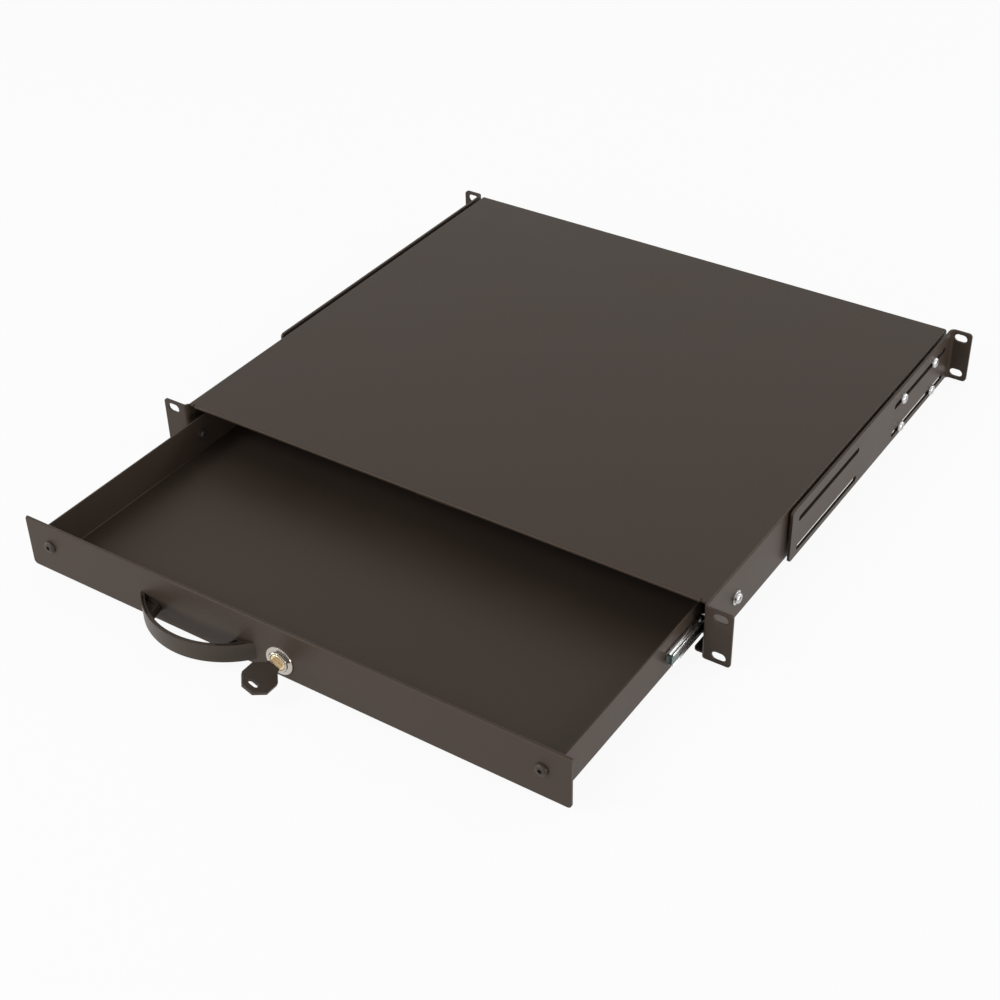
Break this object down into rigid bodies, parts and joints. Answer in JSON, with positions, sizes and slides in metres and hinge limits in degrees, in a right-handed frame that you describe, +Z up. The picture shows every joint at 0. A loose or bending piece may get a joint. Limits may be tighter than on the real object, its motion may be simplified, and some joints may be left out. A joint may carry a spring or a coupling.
{
  "type": "sliding rack drawer",
  "caption": "One-unit 19 inch rack drawer in black steel, part open: ball slides, slotted rear brackets, bow handle and a cam lock with its key.",
  "frame": {"origin": "Centre of the four front rack slots, on the rear face of the front ears, where they meet the rack posts.", "axes": "+X to the right seen from the front, +Y back into the rack, +Z up."},
  "size_m": [0.4826, 0.6033, 0.0436],
  "materials": {
    "black_powder_coat": "fine matte black powder coat",
    "zinc_strip": "bright zinc plated strip",
    "zinc_fasteners": "bright zinc plated",
    "ball_steel": "polished hardened steel",
    "white_plastic": "natural moulded plastic",
    "black_oxide_steel": "black oxide",
    "black_plastic": "satin moulded black plastic",
    "nickel_plate": "nickel plated",
    "brass": "turned brass"
  },
  "bodies": {
    "case": {"case_shell": "black_powder_coat", "case_back": "black_powder_coat", "case_strap_front": "black_powder_coat", "case_strap_rear": "black_powder_coat", "lock_strike": "black_powder_coat", "outer_rail_left": "zinc_strip", "outer_rail_right": "zinc_strip", "rail_screw_left": "zinc_fasteners", "rail_screw_right": "zinc_fasteners", "rail_washer_left": "zinc_fasteners", "rail_washer_right": "zinc_fasteners", "rail_wafer_screw_left": "zinc_fasteners", "rail_wafer_screw_right": "zinc_fasteners", "bracket_screws_left": "zinc_fasteners", "bracket_screws_right": "zinc_fasteners", "bracket_spacers_left": "zinc_fasteners", "bracket_spacers_right": "zinc_fasteners", "bracket_nuts_left": "zinc_fasteners", "bracket_nuts_right": "zinc_fasteners"},
    "bracket_left": {"rear_bracket_left": "black_powder_coat"},
    "bracket_right": {"rear_bracket_right": "black_powder_coat"},
    "cage_left": {"ball_cage_left": "zinc_strip", "balls_left": "ball_steel"},
    "cage_right": {"ball_cage_right": "zinc_strip", "balls_right": "ball_steel"},
    "drawer": {"tray": "black_powder_coat", "front_panel": "black_powder_coat", "panel_screws": "black_oxide_steel", "panel_nuts": "zinc_fasteners", "runner_left": "zinc_strip", "runner_right": "zinc_strip", "runner_bumper_left": "white_plastic", "runner_bumper_right": "white_plastic", "runner_screws_left": "black_oxide_steel", "runner_screws_right": "black_oxide_steel", "handle": "black_plastic", "handle_screws": "zinc_fasteners", "lock_housing": "nickel_plate", "lock_nut": "nickel_plate"},
    "plug": {"lock_plug": "brass", "lock_cam": "zinc_fasteners", "cam_screw": "zinc_fasteners"},
    "key": {"key_blade": "nickel_plate", "key_head": "black_plastic"}
  },
  "joints": [
    {"name": "drawer_slide", "type": "slide", "parent": "case", "child": "drawer", "axis": [0, -1, 0], "range_m": [-0.1605, 0.0895]},
    {"name": "cage_left_slide", "type": "slide", "parent": "case", "child": "cage_left", "axis": [0, -1, 0], "range_m": [-0.08025, 0.04475]},
    {"name": "cage_right_slide", "type": "slide", "parent": "case", "child": "cage_right", "axis": [0, -1, 0], "range_m": [-0.08025, 0.04475]},
    {"name": "bracket_left_slide", "type": "slide", "parent": "case", "child": "bracket_left", "axis": [0, 1, 0], "range_m": [-0.0215, 0.0135]},
    {"name": "bracket_right_slide", "type": "slide", "parent": "case", "child": "bracket_right", "axis": [0, 1, 0], "range_m": [-0.0215, 0.0135]},
    {"name": "plug_turn", "type": "hinge", "parent": "drawer", "child": "plug", "pos_m": [0.0015, -0.1655, -0.0048], "axis": [0, -1, 0], "range_deg": [-68, 22]},
    {"name": "key_pull", "type": "slide", "parent": "plug", "child": "key", "axis": [0, -1, 0], "range_m": [0, 0.03]}
  ],
  "couplings": [
    {"joint": "cage_left_slide", "follows": "drawer_slide", "ratio": 0.5},
    {"joint": "cage_right_slide", "follows": "drawer_slide", "ratio": 0.5}
  ]
}
